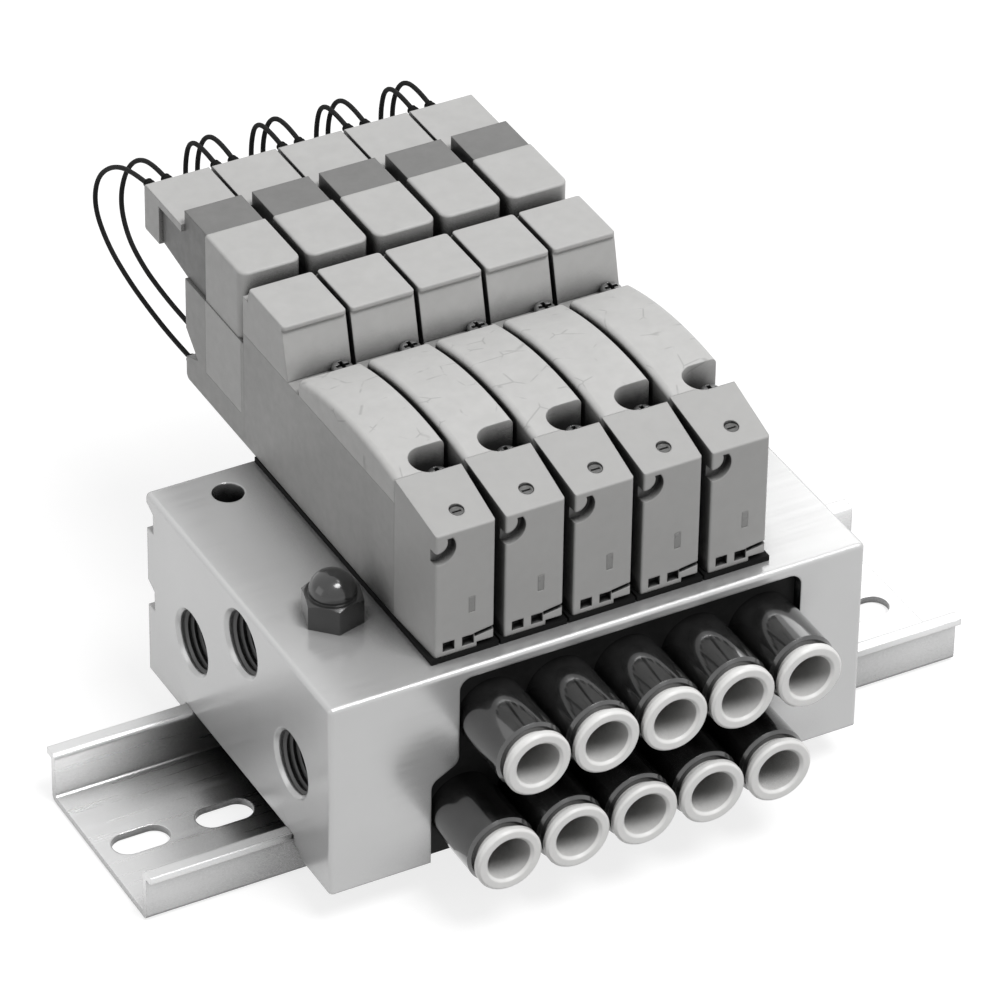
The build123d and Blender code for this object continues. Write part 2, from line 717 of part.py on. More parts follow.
def make_rear_base(x):
    """Rear base under the coil, overhanging the manifold, with a notch for the lead wires."""
    half = valve_width / 2
    low = valve_floor + notch_rise
    base = side_profile(((body_rear, valve_floor), (base_rear, valve_floor), (base_rear, low),
                         (base_rear - notch_depth, low + notch_height * notch_apex_share), (base_rear, low + notch_height),
                         (base_rear, base_top), (body_rear, base_top)), valve_width, x)
    corner = edges_along(base, Axis.X, base_rear - 0.01, base_rear + 0.01, Axis.Y).sort_by(Axis.Z)[0]
    base = fillet(corner, base_corner_radius)
    for side in (-1, 1):
        wall = sorted((x + side * half, x + side * (half - coil_skirt_wall)))
        base -= block(wall, (coil_front, coil_rear), (valve_floor + coil_skirt_start, base_top))
    return base


def make_coil_cover(x):
    """Coil cover: rounded top, solid potted coil, and side skirts let into the base."""
    half = valve_width / 2
    side_reach = half - coil_side_inset
    cover = block((x - side_reach, x + side_reach), (coil_front, coil_rear), (base_top, coil_top))
    cover = fillet(edges_along(cover, Axis.Z, coil_front - 0.01, coil_front + 0.01, Axis.Y), coil_corner_radius)
    top = [e for e in cover.faces().sort_by(Axis.Z)[-1].edges() if e.center().Y < coil_rear - 0.01]
    cover = fillet(top, coil_edge_radius)
    for side in (-1, 1):
        wall = sorted((x + side * half, x + side * (half - coil_skirt_wall)))
        cover += block(wall, (coil_front, coil_rear), (valve_floor + coil_skirt_start, base_top))
    return cover


def make_housing(x):
    """Dark connector housing between the coil cover and the lead plug."""
    low = base_top + housing_tail_rise
    return side_profile(((coil_rear, base_top), (base_rear, base_top), (tail_rear, low),
                         (tail_rear, plug_top - plug_plate_thickness), (plate_front, plug_top - plug_plate_thickness),
                         (plate_front, housing_top), (coil_rear, housing_top)), housing_width, x)


def make_lead_plug(x):
    """Lead plug: a top plate over the housing and a thick tail that takes the two wires."""
    under = plug_top - plug_plate_thickness
    plug = side_profile(((plate_front, under), (plate_front, plug_top), (plug_rear, plug_top),
                         (plug_rear, plug_top - plug_height), (tail_rear, plug_top - plug_height),
                         (tail_rear, under)), plug_width, x)
    return fillet(edges_along(plug, Axis.X, plug_rear - 0.01, plug_rear + 0.01, Axis.Y), plug_edge_radius)


def make_spool(x):
    """Spool with four lands that slides in the body bore."""
    radius = spool_bore_diameter / 2 - spool_clearance
    waist = spool_waist_diameter / 2
    gap = (spool_end_y - spool_start_y - 4 * spool_land_length) / 3
    points = [(0, spool_start_y)]
    for i in range(4):
        start = spool_start_y + i * (spool_land_length + gap)
        points += [(radius, start), (radius, start + spool_land_length)]
        if i < 3:
            points += [(waist, start + spool_land_length), (waist, start + spool_land_length + gap)]
    points.append((0, spool_end_y))
    return turned_y(points, x + spool_offset, spool_z)


def make_screws(x):
    """The two cross-recess mounting screws of a valve."""
    screws = []
    for y in (pocket_y, rear_screw_y):
        shank = rod_z(screw_diameter, manifold_top - screw_grip, deck, 0, 0)
        head = rod_z(screw_head_diameter, deck, deck + screw_head_height, 0, 0)
        head = fillet(head.edges().filter_by(GeomType.CIRCLE).sort_by(Axis.Z)[-1], screw_head_height / 3)
        low = deck + screw_head_height - cross_depth
        for size in ((cross_width, cross_length), (cross_length, cross_width)):
            head -= block((-size[0] / 2, size[0] / 2), (-size[1] / 2, size[1] / 2), (low, low + 2 * cross_depth))
        screws.append(Pos(x + screw_offset, y, 0) * (shank + head))
    return screws


def wire_radii(points):
    """Bend radius at each inner point: a share of the shorter run over the tangent of half the turn."""
    vectors = [Vector(*p) for p in points]
    radii = []
    for before, here, after in zip(vectors, vectors[1:], vectors[2:]):
        run_in, run_out = here - before, after - here
        turn = run_in.get_angle(run_out)
        radii.append(wire_bend_share * min(run_in.length, run_out.length) / tan(radians(turn / 2)))
    return radii


def make_wire(name, x, route):
    """Lead wire: a round tube along straight runs joined by tangent arcs."""
    points = [(x + p[0], p[1], p[2]) for p in route]
    radii = wire_radii(points)
    path = FilletPolyline(*points, radius=radii)
    section = Plane(origin=points[0], z_dir=path % 0) * Circle(wire_diameter / 2)
    wire = sweep(section, path=path)
    ideal = section.area * path.length
    print(f"{name}: length {path.length:.1f} mm, radii {[round(r, 1) for r in radii]}, "
          f"volume ratio {wire.volume / ideal:.3f}")
    return wire


def write(name, shape):
    """Write one sub-part, a solid or a group of separate solids."""
    if isinstance(shape, list):
        shape = Compound(children=[solid for item in shape for solid in item.solids()])
    export_step(shape, f"parts/{name}.step")


os.makedirs("parts", exist_ok=True)
write("din_rail", make_rail())
write("manifold_base", make_manifold())
write("rail_clamp", make_clamp())
write("clamp_stud", make_stud())
write("clamp_nut", make_nut())
write("end_plugs", make_end_plugs())
write("fitting_seal_plate", make_seal_plate())
write("fitting_bodies_upper", [make_fitting(x, upper_z) for x in upper_xs])
write("fitting_bodies_lower", [make_fitting(x, lower_z) for x in lower_xs])
sockets = [(x, upper_z) for x in upper_xs] + [(x, lower_z) for x in lower_xs]
write("tube_seals", [make_seal(x, z) for x, z in sockets])
write("grip_collets", [make_collet(x, z) for x, z in sockets])
for number, (x, z) in enumerate(sockets, start=1):
    write(f"release_ring_{number}", make_release_ring(x, z))
write("valve_gaskets", [make_gasket(x) for x in station_xs])
write("top_covers", [make_top_cover(x) for x in station_xs])
write("pilot_blocks", [make_pilot_block(x) for x in station_xs])
write("solenoid_bases", [make_rear_base(x) for x in station_xs])
write("coil_covers", [make_coil_cover(x) for x in station_xs])
write("connector_housings", [make_housing(x) for x in station_xs])
write("lead_plugs", [make_lead_plug(x) for x in station_xs])
write("mounting_screws", [screw for x in station_xs for screw in make_screws(x)])
write("indicator_lenses", [Pos(x, 0, 0) * lens_box(lens_depth) for x in station_xs])
for number, x in enumerate(station_xs, start=1):
    write(f"valve_body_{number}", make_valve_body(x))
    write(f"front_cap_{number}", make_front_cap(x))
    write(f"override_button_{number}", make_button(x))
    write(f"spool_{number}", make_spool(x))
    routes = (wire_a_route, wire_b_route) if number == 1 else (tight_a_route, tight_b_route)
    for letter, route in zip("ab", routes):
        write(f"lead_wire_{number}{letter}", make_wire(f"lead_wire_{number}{letter}", x, route))
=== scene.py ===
import json
import math

import bmesh
import bpy
from mathutils import Matrix, Vector


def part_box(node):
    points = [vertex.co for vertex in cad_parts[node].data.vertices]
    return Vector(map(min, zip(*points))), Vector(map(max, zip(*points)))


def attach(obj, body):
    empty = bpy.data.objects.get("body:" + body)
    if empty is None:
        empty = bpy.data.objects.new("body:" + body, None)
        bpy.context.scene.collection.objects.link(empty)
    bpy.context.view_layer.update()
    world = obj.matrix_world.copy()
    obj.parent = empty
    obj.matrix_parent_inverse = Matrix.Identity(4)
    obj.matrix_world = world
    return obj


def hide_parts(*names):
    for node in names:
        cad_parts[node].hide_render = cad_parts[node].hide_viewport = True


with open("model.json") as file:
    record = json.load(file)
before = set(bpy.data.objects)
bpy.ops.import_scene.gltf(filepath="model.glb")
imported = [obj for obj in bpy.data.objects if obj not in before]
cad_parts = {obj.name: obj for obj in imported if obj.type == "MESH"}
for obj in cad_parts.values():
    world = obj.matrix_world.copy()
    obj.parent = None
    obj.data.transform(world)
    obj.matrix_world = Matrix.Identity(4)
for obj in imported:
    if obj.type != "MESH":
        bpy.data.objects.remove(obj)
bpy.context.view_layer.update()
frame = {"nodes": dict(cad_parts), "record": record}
nodes = frame["nodes"]
mm = 0.001
quarterTurn = math.pi / 2

# camera, fitted to the rail, manifold and valves
camera = {
    "target": (1.78, 6.92, 32.74),  # millimetres
    "distance": 894.5,  # millimetres
    "azimuth": 28.75,  # degrees left of the front
    "elevation": 35.84,
    "roll": 0.895,
    "lens": 243.3,
    "sensor": 36.0,
    "nearest": 0.05,  # metres
    "farthest": 20.0,
}


def addCamera():
    turn, rise, roll = (math.radians(camera[key]) for key in ("azimuth", "elevation", "roll"))
    back = Vector((
        -math.sin(turn) * math.cos(rise),
        -math.cos(turn) * math.cos(rise),
        math.sin(rise),
    ))
    right = Vector((math.cos(turn), -math.sin(turn), 0.0))
    up = back.cross(right)
    rolledRight = math.cos(roll) * right + math.sin(roll) * up
    rolledUp = -math.sin(roll) * right + math.cos(roll) * up
    place = (Vector(camera["target"]) + camera["distance"] * back) * mm
    data = bpy.data.cameras.new("camera")
    data.lens = camera["lens"]
    data.sensor_width = camera["sensor"]
    data.clip_start = camera["nearest"]
    data.clip_end = camera["farthest"]
    eye = bpy.data.objects.new("camera", data)
    eye.matrix_world = Matrix((
        (rolledRight.x, rolledUp.x, back.x, place.x),
        (rolledRight.y, rolledUp.y, back.y, place.y),
        (rolledRight.z, rolledUp.z, back.z, place.z),
        (0, 0, 0, 1),
    ))
    bpy.context.scene.collection.objects.link(eye)
    bpy.context.scene.camera = eye


addCamera()
print("camera placed")

# lead wires: two behind each valve, from the plug's rear face round to the rear base;
# all lengths are millimetres, but for "lengths", which are metres
leadWire = {
    "diameter": 0.7,
    "stations": (-19.8, -9.8, 0.2, 10.2, 20.2),
    "firstA": (
        (-3.4, 59.5, 58.8), (-3.5, 65.9, 58.0), (-3.6, 72.0, 55.3), (-3.7, 76.8, 50.7),
        (-3.7, 78.0, 45.2), (-3.6, 74.2, 41.2), (-3.5, 67.9, 39.0), (-3.4, 60.6, 37.9),
        (-3.3, 53.6, 37.4), (-3.2, 47.5, 37.5),
    ),
    "firstB": (
        (-0.8, 59.5, 58.8), (-0.9, 64.4, 59.1), (-1.1, 69.3, 57.3), (-1.3, 72.8, 53.2),
        (-1.5, 74.3, 47.6), (-1.7, 71.7, 43.4), (-1.9, 66.3, 41.6), (-2.1, 60.2, 41.2),
        (-2.3, 54.2, 41.3), (-2.4, 47.6, 41.6),
    ),
    "otherA": (
        (-3.4, 59.5, 58.8), (-3.5, 64.4, 59.5), (-3.5, 68.7, 58.3), (-3.6, 70.0, 53.8),
        (-3.6, 69.6, 48.6), (-3.5, 66.8, 44.3), (-3.4, 62.2, 41.0), (-3.3, 55.2, 38.6),
        (-3.2, 47.5, 37.5),
    ),
    "otherB": (
        (-0.8, 59.5, 58.8), (-0.9, 64.2, 59.8), (-1.2, 68.4, 58.8), (-1.6, 70.3, 54.4),
        (-1.7, 70.0, 49.2), (-1.8, 67.0, 45.2), (-2.0, 61.6, 42.6), (-2.2, 54.6, 41.6),
        (-2.4, 47.6, 41.6),
    ),
    "lengths": {"firstA": 0.0573, "firstB": 0.05, "otherA": 0.0446, "otherB": 0.0435},
    "roundness": 4,
    "smoothness": 12,
    "order": 3,
}

# given to each wire as it is made, because a later one spoils the wire's measured box;
# its nodes are set with the other materials
wireMaterial = bpy.data.materials.new("wireBlack")


def addWire(name, centre, route):
    points = [((centre + x) * mm, y * mm, z * mm) for x, y, z in leadWire[route]]
    curve = bpy.data.curves.new(name, "CURVE")
    curve.dimensions = "3D"
    curve.bevel_depth = leadWire["diameter"] / 2 * mm
    curve.bevel_resolution = leadWire["roundness"]
    curve.resolution_u = leadWire["smoothness"]
    curve.use_fill_caps = True
    curve.materials.append(wireMaterial)
    spline = curve.splines.new("NURBS")
    spline.points.add(len(points) - 1)
    for point, place in zip(spline.points, points):
        point.co = (*place, 1)
    spline.order_u = leadWire["order"]
    spline.use_endpoint_u = True
    wire = bpy.data.objects.new(name, curve)
    bpy.context.scene.collection.objects.link(wire)
    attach(wire, "island")
    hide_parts(name.replace("leadWire", "lead_wire_"))


for number, centre in enumerate(leadWire["stations"], start=1):
    kind = "first" if number == 1 else "other"
    addWire(f"leadWire{number}a", centre, kind + "A")
    addWire(f"leadWire{number}b", centre, kind + "B")
print("lead wires:", 2 * len(leadWire["stations"]))

# small modelled pieces
made = []  # pairs of a piece and its material slot


def cadBoxOf(node):
    return [Vector(corner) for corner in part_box(node)]


def deselectAll():
    bpy.ops.object.select_all(action="DESELECT")


def selectOnly(piece):
    deselectAll()
    piece.select_set(True)
    bpy.context.view_layer.objects.active = piece


def startEdit(piece):
    selectOnly(piece)
    bpy.ops.object.mode_set(mode="EDIT")
    bpy.ops.mesh.select_mode(type="FACE")


def endEdit():
    bpy.ops.object.mode_set(mode="OBJECT")


def pickFaces(piece, test):
    shape = bmesh.from_edit_mesh(piece.data)
    for face in shape.faces:
        face.select_set(test(face.calc_center_median(), face.normal))
    shape.select_flush_mode()
    bmesh.update_edit_mesh(piece.data)


def applyModifier(piece, kind, **values):
    modifier = piece.modifiers.new(kind.lower(), kind)
    for key, value in values.items():
        setattr(modifier, key, value)
    selectOnly(piece)
    bpy.ops.object.modifier_apply(modifier=modifier.name)


def applyTransform(piece, location):
    selectOnly(piece)
    bpy.ops.object.transform_apply(location=location, rotation=True, scale=True)


def settle(piece, name, body, slot, angle=35.0):
    applyTransform(piece, True)
    bpy.ops.object.shade_smooth_by_angle(angle=math.radians(angle))
    piece.name = name
    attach(piece, body)
    made.append((piece, slot))


def copyTo(piece, move):
    twin = piece.copy()
    twin.data = piece.data.copy()
    twin.location = Vector(piece.location) + Vector(move)
    bpy.context.scene.collection.objects.link(twin)
    return twin


# manual override buttons: flanged foot, dished face and a screwdriver slot, in millimetres
overrideButton = {
    "count": 5,
    "sides": 40,
    "radius": 0.95,  # as the solid's
    "footRadius": 1.45,
    "footHeight": 0.5,
    "rim": 0.2,
    "dish": 0.12,
    "dishSlope": 0.08,
    "edge": 0.06,
    "edgeSteps": 2,
    "edgeAngle": 50,  # degrees
    "slotLength": 1.25,
    "slotWidth": 0.34,
    "slotDepth": 0.5,
}


def modelButton():
    part = overrideButton
    low, high = cadBoxOf("override_button_1")
    middle = (low + high) / 2
    foot = part["footHeight"] * mm
    deselectAll()
    bpy.ops.mesh.primitive_cylinder_add(
        vertices=part["sides"], radius=part["footRadius"] * mm, depth=foot,
        location=(middle.x, middle.y, low.z + foot / 2))
    button = bpy.context.object
    startEdit(button)
    pickFaces(button, lambda place, normal: normal.z > 0.9)
    bpy.ops.mesh.inset(thickness=(part["footRadius"] - part["radius"]) * mm)
    bpy.ops.mesh.extrude_region_move(
        TRANSFORM_OT_translate={"value": (0, 0, high.z - low.z - foot)})
    bpy.ops.mesh.inset(thickness=part["rim"] * mm)
    bpy.ops.mesh.inset(thickness=part["dishSlope"] * mm, depth=-part["dish"] * mm)
    endEdit()
    applyModifier(button, "BEVEL", width=part["edge"] * mm, segments=part["edgeSteps"],
                  limit_method="ANGLE", angle_limit=math.radians(part["edgeAngle"]))
    deselectAll()
    bpy.ops.mesh.primitive_cube_add(size=1, location=(middle.x, middle.y, high.z))
    cutter = bpy.context.object
    cutter.scale = (part["slotLength"] * mm, part["slotWidth"] * mm, 2 * part["slotDepth"] * mm)
    applyModifier(button, "BOOLEAN", operation="DIFFERENCE", object=cutter, solver="EXACT")
    bpy.data.objects.remove(cutter)
    return button


def addButtons():
    first = modelButton()
    firstPlace = cadBoxOf("override_button_1")[0]
    buttons = [first]
    for number in range(2, overrideButton["count"] + 1):
        place = cadBoxOf(f"override_button_{number}")[0]
        buttons.append(copyTo(first, place - firstPlace))
    for number, piece in enumerate(buttons, start=1):
        settle(piece, f"overrideButton{number}", f"button_{number}", "button_grey")
        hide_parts(f"override_button_{number}")
    return len(buttons)


print("override buttons:", addButtons())

# threads in the three open ports at the left end, in millimetres: a triangle wound along X
portThread = {
    "wallRadius": 4.44,
    "crestRadius": 4.02,
    "pitch": 0.907,
    "turns": 5,
    "steps": 32,
    "start": 0.75,  # from the end face
    "centres": ((-1.0, 28.8), (13.7, 19.1), (-15.3, 19.1)),  # Y and Z
    "triangleHeight": 1.5,  # of a triangle whose corners lie at radius 1
    "triangleWidth": 1.732,
    "ridgeShare": 0.88,  # of the pitch
    "mergeDistance": 0.001,
    "smoothAngle": 60.0,  # degrees
}


def modelThread():
    part = portThread
    left = cadBoxOf("manifold_base")[0].x
    y, z = part["centres"][0]
    size = (part["wallRadius"] - part["crestRadius"]) / part["triangleHeight"] * mm
    axisPoint = (left + part["start"] * mm, y * mm, z * mm)
    deselectAll()
    top = (axisPoint[0], axisPoint[1], axisPoint[2] + part["wallRadius"] * mm - size / 2)
    bpy.ops.mesh.primitive_circle_add(
        vertices=3, radius=size, location=top, rotation=(-quarterTurn, 0, 0))
    thread = bpy.context.object
    ridge = part["ridgeShare"] * part["pitch"] * mm
    thread.scale = (ridge / (part["triangleWidth"] * size), 1, 1)
    applyTransform(thread, False)
    bpy.context.scene.cursor.location = axisPoint
    bpy.ops.object.origin_set(type="ORIGIN_CURSOR")
    applyModifier(thread, "SCREW", axis="X", screw_offset=part["pitch"] * mm,
                  steps=part["steps"], render_steps=part["steps"], iterations=part["turns"])
    startEdit(thread)
    bpy.ops.mesh.select_all(action="SELECT")
    bpy.ops.mesh.remove_doubles(threshold=part["mergeDistance"] * mm)
    bpy.ops.mesh.fill_holes(sides=3)
    bpy.ops.mesh.select_all(action="SELECT")
    bpy.ops.mesh.normals_make_consistent(inside=False)
    endEdit()
    return thread


def addThreads():
    first = modelThread()
    firstY, firstZ = portThread["centres"][0]
    threads = [first]
    for y, z in portThread["centres"][1:]:
        threads.append(copyTo(first, (0, (y - firstY) * mm, (z - firstZ) * mm)))
    for number, piece in enumerate(threads, start=1):
        settle(piece, f"portThread{number}", "island", "manifold_aluminium",
               portThread["smoothAngle"])
    return len(threads)


print("port threads:", addThreads())

# rubber sleeves where the wires leave the plug and enter the rear base, in millimetres
wireSleeve = {
    "sides": 24,
    "root": 0.2,
    "lip": 0.1,
    "lipDepth": 0.08,
    "steps": (
        # distance from the face, and radius
        (0.0, 0.86), (0.45, 0.86), (0.6, 0.66), (0.8, 0.66), (0.9, 0.78), (1.1, 0.78),
        (1.2, 0.6), (1.4, 0.6), (1.5, 0.7), (1.7, 0.7), (1.85, 0.5),
    ),
    "models": (
        # X from the station, Y of the face, Z, and stretch: the last one starts in the V notch
        (-3.4, 59.4, 58.8, 1.0),
        (-0.8, 59.4, 58.8, 1.0),
        (-3.2, 47.4, 37.5, 1.0),
        (-2.4, 44.9, 41.6, 1.75),
    ),
}


def modelSleeve(x, face, z, stretch):
    part = wireSleeve
    steps = part["steps"]
    deselectAll()
    bpy.ops.mesh.primitive_cylinder_add(
        vertices=part["sides"], radius=steps[0][1] * mm, depth=part["root"] * mm,
        location=(x * mm, (face - part["root"] / 2) * mm, z * mm), rotation=(-quarterTurn, 0, 0))
    sleeve = bpy.context.object
    applyTransform(sleeve, True)
    startEdit(sleeve)
    pickFaces(sleeve, lambda place, normal: normal.y > 0.9)
    centre = Vector((x, face, z)) * mm
    for (startAt, wide), (endAt, narrow) in zip(steps, steps[1:]):
        step = (endAt - startAt) * stretch * mm
        bpy.ops.mesh.extrude_region_move(TRANSFORM_OT_translate={"value": (0, step, 0)})
        share = narrow / wide
        bpy.ops.transform.resize(value=(share, 1, share), center_override=tuple(centre))
    bpy.ops.mesh.inset(thickness=part["lip"] * mm, depth=-part["lipDepth"] * mm)
    endEdit()
    return sleeve


def addSleeves():
    start = leadWire["stations"][0]
    models = [modelSleeve(start + x, face, z, stretch)
              for x, face, z, stretch in wireSleeve["models"]]
    sleeves = []
    for station, centre in enumerate(leadWire["stations"], start=1):
        for letter, model in zip("abcd", models):
            piece = model if station == 1 else copyTo(model, ((centre - start) * mm, 0, 0))
            sleeves.append((piece, f"wireSleeve{station}{letter}"))
    for piece, name in sleeves:
        settle(piece, name, "island", "seal_rubber")
    return len(sleeves)


print("wire sleeves:", addSleeves())

# steel grip rings inside the fittings, in millimetres: a dished ring with inward teeth
gripRing = {
    "count": 10,
    "outerRadius": 3.83,
    "rootRadius": 3.4,
    "tipRadius": 3.03,
    "teeth": 12,
    "sheet": 0.2,
    "lean": 0.55,
    "toothMargin": 0.05,  # a tooth's face centre lies further in than the root by this
    "tipMargin": 0.1,  # and its tip by this
}


def modelGripRing(x, z):
    part = gripRing
    front = cadBoxOf("grip_collets")[0].y
    sectors = 2 * part["teeth"]
    deselectAll()
    bpy.ops.mesh.primitive_circle_add(
        vertices=2 * sectors, radius=part["outerRadius"] * mm, fill_type="NGON",
        location=(x, front, z), rotation=(quarterTurn, 0, 0))
    ring = bpy.context.object
    applyTransform(ring, False)
    startEdit(ring)
    bpy.ops.mesh.select_all(action="SELECT")
    bpy.ops.mesh.inset(thickness=(part["outerRadius"] - part["rootRadius"]) * mm)
    bpy.ops.mesh.inset(thickness=(part["rootRadius"] - part["tipRadius"]) * mm)
    bpy.ops.mesh.delete(type="FACE")

    def isGap(place, normal):
        radius = math.hypot(place.x, place.z) / mm
        sector = (math.atan2(place.z, place.x) / (2 * math.pi) * sectors) % 2
        return radius < part["rootRadius"] - part["toothMargin"] and sector > 1.0

    pickFaces(ring, isGap)
    bpy.ops.mesh.delete(type="FACE")
    shape = bmesh.from_edit_mesh(ring.data)
    for vert in shape.verts:
        if math.hypot(vert.co.x, vert.co.z) / mm < part["rootRadius"] - part["tipMargin"]:
            vert.co.y += part["lean"] * mm
    bmesh.update_edit_mesh(ring.data)
    endEdit()
    applyModifier(ring, "SOLIDIFY", thickness=part["sheet"] * mm, offset=0.0)
    return ring


def addGripRings():
    centres = []
    for number in range(1, gripRing["count"] + 1):
        low, high = cadBoxOf(f"release_ring_{number}")
        centres.append(((low.x + high.x) / 2, (low.z + high.z) / 2))
    firstX, firstZ = centres[0]
    first = modelGripRing(firstX, firstZ)
    rings = [first]
    for x, z in centres[1:]:
        rings.append(copyTo(first, (x - firstX, 0, z - firstZ)))
    deselectAll()
    for ring in rings:
        ring.select_set(True)
    bpy.context.view_layer.objects.active = first
    bpy.ops.object.join()
    settle(first, "gripRings", "island", "collet_steel")
    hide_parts("grip_collets")
    return len(rings)


print("grip rings:", addGripRings())


# materials: a noise is given as scale and detail, and a level is a linear grey
def newMaterial(name, level, roughness, metallic=0.0, specular=0.5):
    material = bpy.data.materials.get(name) or bpy.data.materials.new(name)
    material.use_nodes = True
    shader = material.node_tree.nodes["Principled BSDF"]
    shader.inputs["Base Color"].default_value = (*grey(level), 1)
    shader.inputs["Roughness"].default_value = roughness
    shader.inputs["Metallic"].default_value = metallic
    shader.inputs["Specular IOR Level"].default_value = specular
    return material


def addNode(material, kind, **values):
    node = material.node_tree.nodes.new(kind)
    for key, value in values.items():
        setattr(node, key, value)
    return node


def link(material, output, socket):
    material.node_tree.links.new(output, socket)


def fill(material, socket, value):
    # a number or a colour is written on the socket, and an output is linked to it
    if isinstance(value, tuple):
        socket.default_value = (*value, 1)
    elif isinstance(value, float):
        socket.default_value = value
    else:
        link(material, value, socket)


def feed(material, socket, value):
    link(material, value, material.node_tree.nodes["Principled BSDF"].inputs[socket])


def grey(level):
    return (level, level, level)


def warm(level):
    return (level, level * 0.995, level * 0.98)


def noise(material, scale, detail, stretch=(1, 1, 1)):
    spot = addNode(material, "ShaderNodeTexCoord")
    mapping = addNode(material, "ShaderNodeMapping")
    mapping.inputs["Scale"].default_value = stretch
    texture = addNode(material, "ShaderNodeTexNoise")
    texture.inputs["Scale"].default_value = scale
    texture.inputs["Detail"].default_value = detail
    link(material, spot.outputs["Object"], mapping.inputs["Vector"])
    link(material, mapping.outputs["Vector"], texture.inputs["Vector"])
    return texture.outputs["Fac"]


rampEnds = (0.3, 0.7)  # most of a noise lies between these


def ramp(material, factor, low, high):
    node = addNode(material, "ShaderNodeValToRGB")
    for element, position, colour in zip(node.color_ramp.elements, rampEnds, (low, high)):
        element.position = position
        element.color = (*colour, 1)
    link(material, factor, node.inputs["Fac"])
    return node.outputs["Color"]


def around(material, factor, level, reach, tint=grey):
    return ramp(material, factor, tint(level - reach), tint(level + reach))


def spread(material, value, low, high):
    # 0 below the low value, 1 above the high one, smooth between
    node = addNode(material, "ShaderNodeMapRange", interpolation_type="SMOOTHSTEP")
    node.inputs["From Min"].default_value = low
    node.inputs["From Max"].default_value = high
    link(material, value, node.inputs["Value"])
    return node.outputs["Result"]


def multiply(material, first, second):
    node = addNode(material, "ShaderNodeMath", operation="MULTIPLY", use_clamp=True)
    fill(material, node.inputs[0], first)
    fill(material, node.inputs[1], second)
    return node.outputs[0]


def inverse(material, value):
    node = addNode(material, "ShaderNodeMath", operation="SUBTRACT")
    fill(material, node.inputs[0], 1.0)
    fill(material, node.inputs[1], value)
    return node.outputs[0]


def mixColour(material, factor, first, second):
    node = addNode(material, "ShaderNodeMix", data_type="RGBA")
    fill(material, node.inputs[0], factor)
    fill(material, node.inputs[6], first)  # 6 and 7 are the colour sockets
    fill(material, node.inputs[7], second)
    return node.outputs[2]


shadeSamples = 4


def softEdge(material, radius):
    bevel = addNode(material, "ShaderNodeBevel", samples=shadeSamples)
    bevel.inputs["Radius"].default_value = radius
    return bevel.outputs["Normal"]


def edgeShare(material, radius, gain):
    # how far the rounded normal leaves the true one: near 1 on edges and 0 on flats
    true = addNode(material, "ShaderNodeNewGeometry")
    dot = addNode(material, "ShaderNodeVectorMath", operation="DOT_PRODUCT")
    link(material, softEdge(material, radius), dot.inputs[0])
    link(material, true.outputs["Normal"], dot.inputs[1])
    return multiply(material, inverse(material, dot.outputs["Value"]), gain)


def gapShade(material, colour, reach, low, high, dark):
    # painted shade: colour darkened by ambient occlusion deep in gaps, holes and pockets, within
    # reach in metres
    room = addNode(material, "ShaderNodeAmbientOcclusion", samples=shadeSamples)
    room.inputs["Distance"].default_value = reach
    openShare = spread(material, room.outputs["AO"], low, high)
    return mixColour(material, openShare, grey(dark), colour)


def bump(material, height, strength, depth, normal=None):
    node = addNode(material, "ShaderNodeBump")
    node.inputs["Strength"].default_value = strength
    node.inputs["Distance"].default_value = depth
    link(material, height, node.inputs["Height"])
    if normal:
        link(material, normal, node.inputs["Normal"])
    return node.outputs["Normal"]


hairline = {
    "scale": 210.0,
    "width": 0.035,
    "level": 0.12,
    "patchNoise": (273.0, 2.0),
    "patchEnds": (0.52, 0.62),
}


def hairlines(material):
    # fine scratches: the cell borders of a pattern, kept only in patches
    spot = addNode(material, "ShaderNodeTexCoord")
    cells = addNode(material, "ShaderNodeTexVoronoi", feature="DISTANCE_TO_EDGE")
    cells.inputs["Scale"].default_value = hairline["scale"]
    link(material, spot.outputs["Object"], cells.inputs["Vector"])
    far = spread(material, cells.outputs["Distance"], 0.0, hairline["width"])
    patch = spread(material, noise(material, *hairline["patchNoise"]), *hairline["patchEnds"])
    return multiply(material, inverse(material, far), patch)


# each maker's numbers; a gap is its painted shade in gaps and hollows: reach in metres, low and
# high openness, and dark level
mouldedPlastic = {
    "specular": 0.4,
    "mottleNoise": (230.0, 4.0),
    "blotchNoise": (620.0, 3.0),
    "polishNoise": (900.0, 2.0),
    "polishSpread": 0.07,
    "grainNoise": (5200.0, 2.0),
    "grainStrength": 0.35,
    "grainDepth": 0.00002,
    "edgeRadius": 0.0003,
    "edgeGain": 1.2,
    "edgeHighlightGain": 1.15,
    "edgeHighlightLimit": 0.8,
    "gap": (0.006, 0.2, 0.66, 0.012),
}


def plastic(name, level, mottle, roughness, scratched=0.0, **changes):
    part = {**mouldedPlastic, **changes}
    material = newMaterial(name, level, roughness, specular=part["specular"])
    cloud = around(material, noise(material, *part["mottleNoise"]), level, mottle, warm)
    blotch = around(material, noise(material, *part["blotchNoise"]), level, mottle, warm)
    colour = mixColour(material, 0.5, cloud, blotch)
    if scratched:
        lines = multiply(material, hairlines(material), scratched)
        colour = mixColour(material, lines, colour, grey(hairline["level"]))
    # painted highlight: the edges are lightened towards a paler warm grey
    edgeHighlight = edgeShare(material, part["edgeRadius"], part["edgeGain"])
    edgeHighlightLevel = min(level * part["edgeHighlightGain"], part["edgeHighlightLimit"])
    colour = mixColour(material, edgeHighlight, colour, warm(edgeHighlightLevel))
    feed(material, "Base Color", gapShade(material, colour, *part["gap"]))
    polish = noise(material, *part["polishNoise"])
    feed(material, "Roughness", around(material, polish, roughness, part["polishSpread"]))
    grain = noise(material, *part["grainNoise"])
    edge = softEdge(material, part["edgeRadius"])
    feed(material, "Normal",
         bump(material, grain, part["grainStrength"], part["grainDepth"], edge))
    return material


